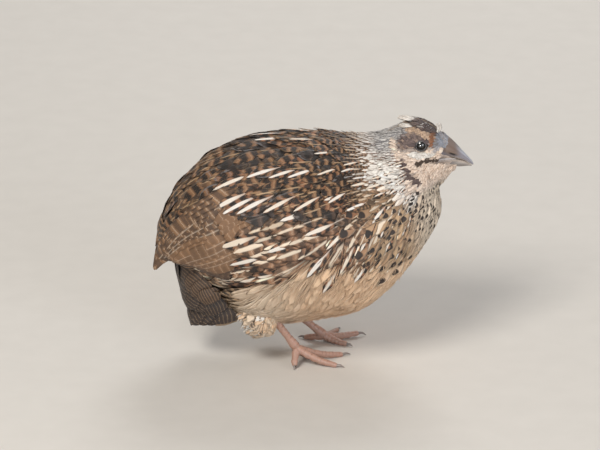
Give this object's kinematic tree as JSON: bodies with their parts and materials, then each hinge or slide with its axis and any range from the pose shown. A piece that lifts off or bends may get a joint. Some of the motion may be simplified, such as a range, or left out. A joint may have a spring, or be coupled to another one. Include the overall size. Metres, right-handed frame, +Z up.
{
  "type": "coturnix quail",
  "caption": "Life-size coturnix quail, hunched and fluffed in mid-step, with folded wings, tucked tail and scaly feet.",
  "frame": {"origin": "centre of the bounding box in plan, at the floor the feet stand on", "axes": "+X to the bill, +Y to the bird's left, +Z up"},
  "size_m": [0.1378, 0.0794, 0.1075],
  "materials": {
    "plumage": "soft, matt feathers",
    "flight_feather": "smooth, satin feather vanes",
    "horn": "satin horn",
    "leg_skin": "scaly, slightly shiny skin",
    "eye": "wet gloss"
  },
  "bodies": {
    "root": {"bill_lower": "horn", "bill_upper": "horn", "claw_hind_left": "horn", "claw_hind_right": "horn", "claw_inner_left": "horn", "claw_inner_right": "horn", "claw_middle_left": "horn", "claw_middle_right": "horn", "claw_outer_left": "horn", "claw_outer_right": "horn", "eye_left": "eye", "eye_right": "eye", "head": "plumage", "leg_left": "leg_skin", "leg_right": "leg_skin", "neck": "plumage", "tail": "flight_feather", "thigh_left": "plumage", "thigh_right": "plumage", "torso": "plumage", "wing_left": "flight_feather", "wing_right": "flight_feather"}
  },
  "joints": []
}
